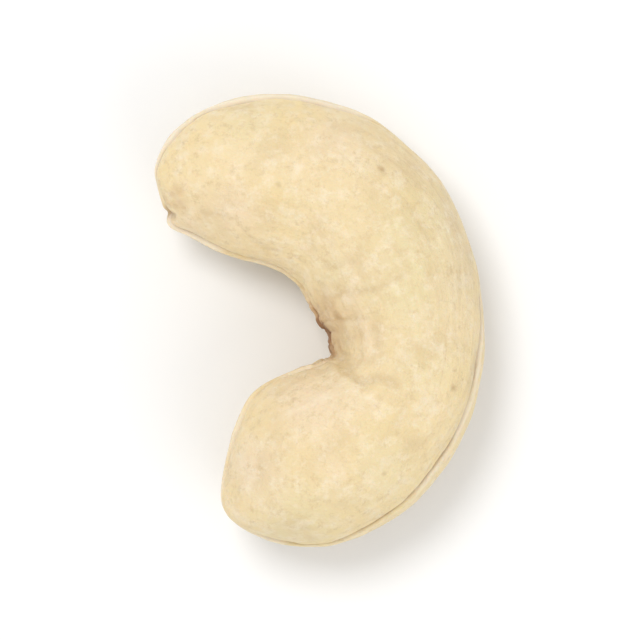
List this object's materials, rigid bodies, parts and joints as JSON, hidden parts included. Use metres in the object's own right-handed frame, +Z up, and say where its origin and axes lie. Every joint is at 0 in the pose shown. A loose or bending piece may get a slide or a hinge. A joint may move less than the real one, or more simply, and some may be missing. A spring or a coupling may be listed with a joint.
{
  "type": "cashew nut",
  "caption": "Whole shelled cashew kernel: a pale kidney-shaped nut lying on its broad side, with a seam round its edge and a pinched fold inside its bend.",
  "frame": {"origin": "on the surface that the kernel rests on, below the middle of its bounding box", "axes": "+Y along the kernel's longest extent, towards its slim lobe; +X towards its round back, so that the bend opens towards -X; +Z up from the surface, across its broad side"},
  "size_m": [0.0182, 0.025, 0.0109],
  "materials": {
    "kernel": "matte"
  },
  "bodies": {
    "root": {"cashew_kernel": "kernel"}
  },
  "joints": []
}
